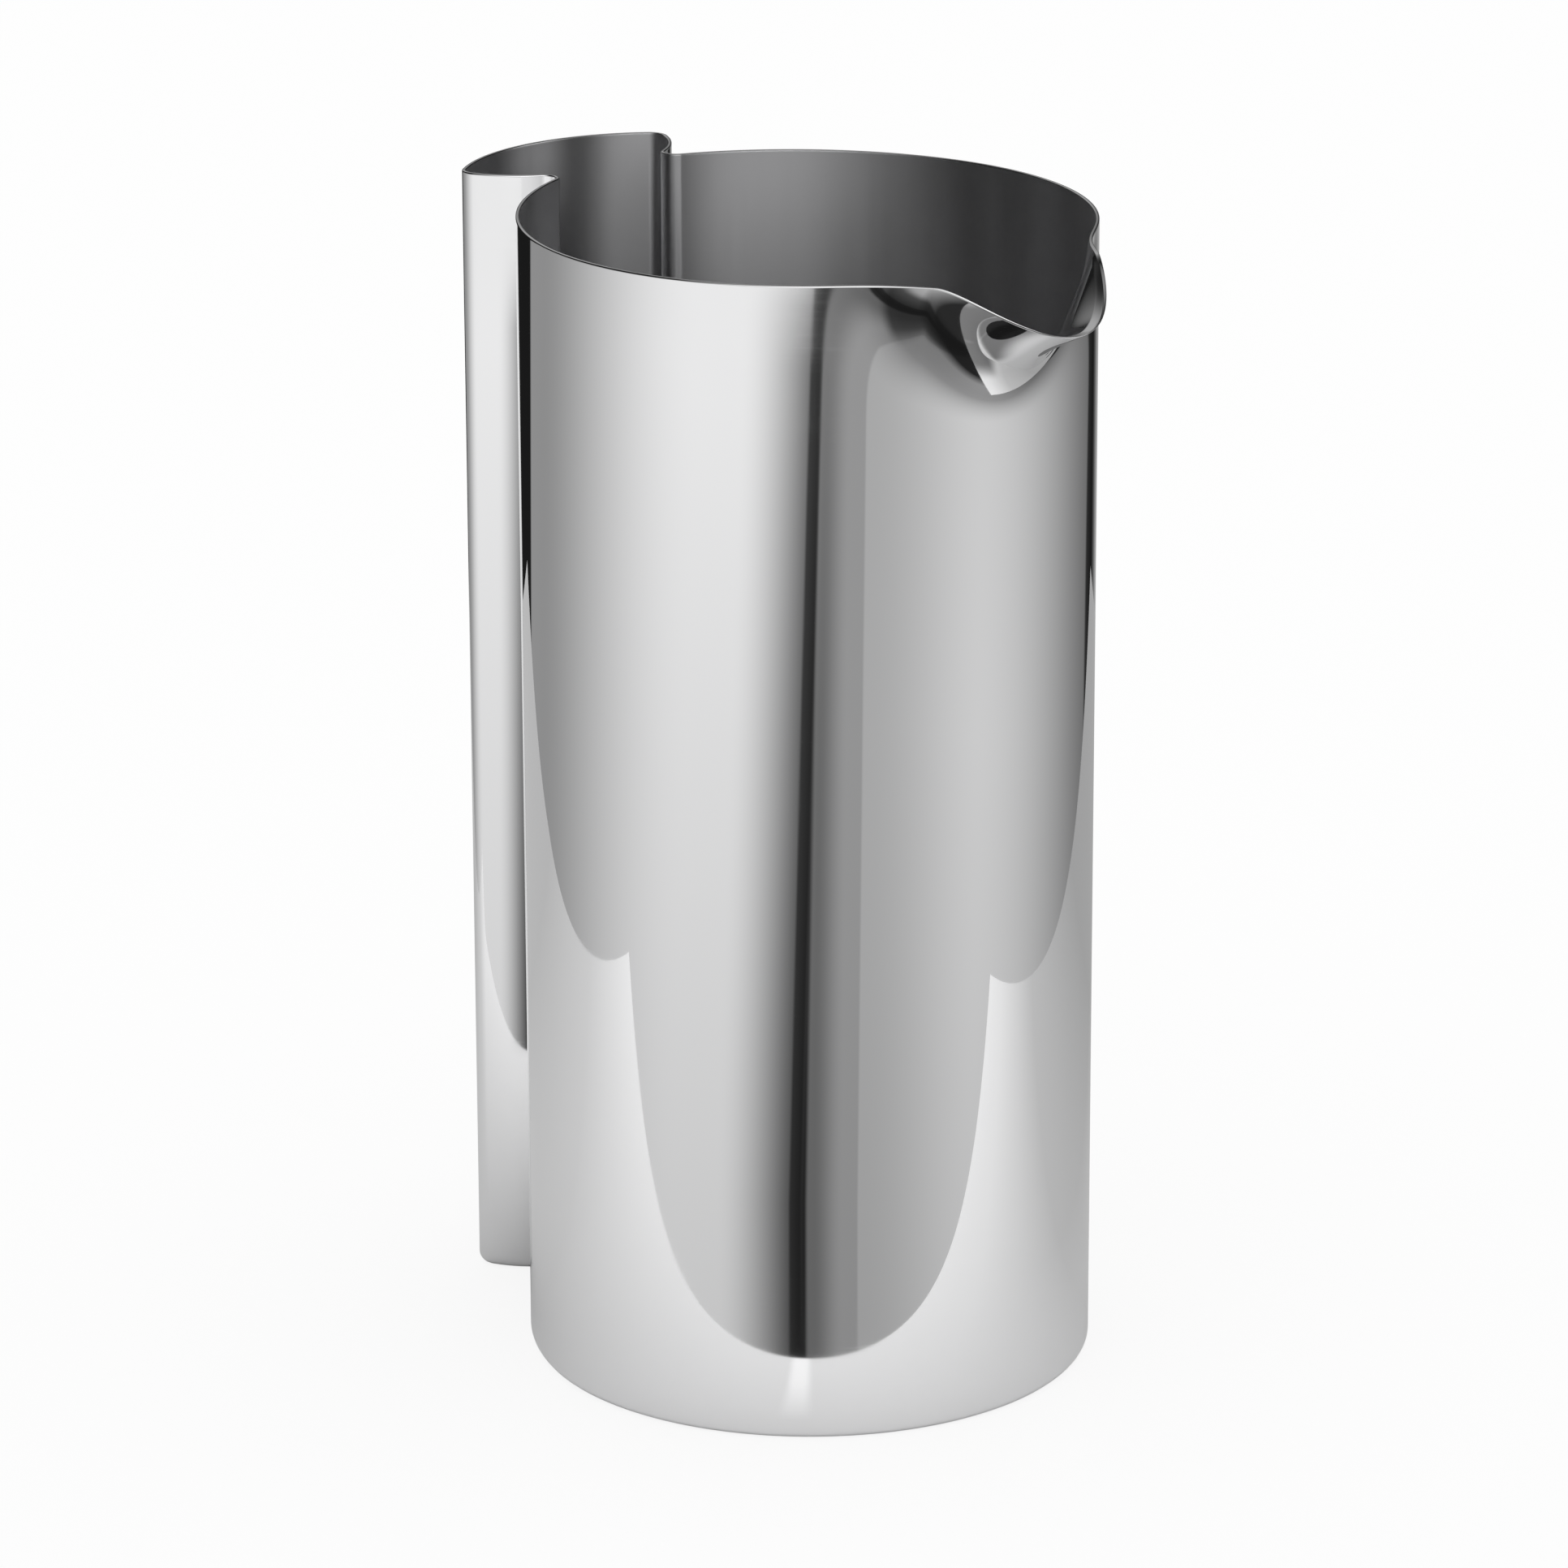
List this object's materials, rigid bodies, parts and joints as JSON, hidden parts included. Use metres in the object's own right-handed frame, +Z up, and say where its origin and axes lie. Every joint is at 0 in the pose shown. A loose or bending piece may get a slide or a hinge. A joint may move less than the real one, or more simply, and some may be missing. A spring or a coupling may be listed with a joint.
{
  "type": "pitcher",
  "caption": "Straight-sided pouring jug of thin polished sheet steel with a pulled lip and a hollow upright channel handle that opens into the body.",
  "frame": {"origin": "centre of the round body on its flat underside", "axes": "+Z up, +X towards the lip, -X towards the handle, +Y to the left when looking from handle to lip"},
  "size_m": [0.1544, 0.108, 0.2235],
  "materials": {
    "body_wall": "mirror-polished stainless steel outside, satin inside",
    "base_pan": "mirror-polished stainless steel outside, satin inside",
    "handle_channel": "mirror-polished stainless steel outside, satin inside",
    "handle_floor": "mirror-polished stainless steel outside, satin inside"
  },
  "bodies": {
    "root": {"body_wall": "body_wall", "base_pan": "base_pan", "handle_channel": "handle_channel", "handle_floor": "handle_floor"}
  },
  "joints": []
}
